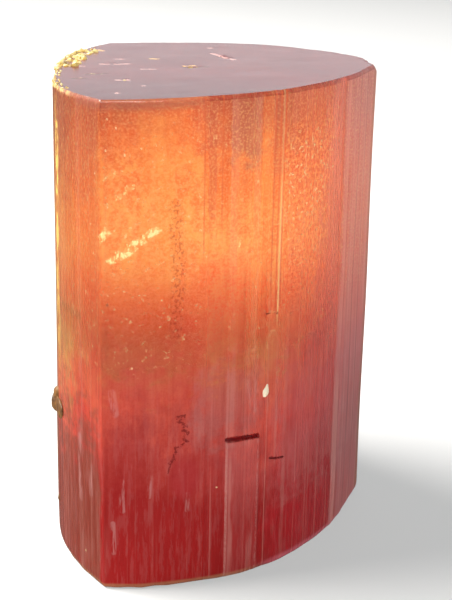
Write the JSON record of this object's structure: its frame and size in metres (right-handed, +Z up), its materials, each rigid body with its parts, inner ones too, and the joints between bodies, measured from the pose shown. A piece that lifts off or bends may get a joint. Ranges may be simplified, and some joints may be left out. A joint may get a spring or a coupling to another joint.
{
  "type": "tourmaline crystal",
  "caption": "Upright gem tourmaline crystal: a stout prism of rounded triangular section with fine vertical striations, a cut base and a nearly flat, slightly leaning top.",
  "frame": {"origin": "middle of the crystal's box, on the plane of its cut base", "axes": "+Z up along the crystal's length, -Y out of the side that the picture shows, +X to the viewer's right"},
  "size_m": [0.024, 0.0274, 0.0343],
  "materials": {
    "tourmaline": "see-through orange to crimson crystal with a soft gloss"
  },
  "bodies": {
    "root": {"crystal": "tourmaline"}
  },
  "joints": []
}
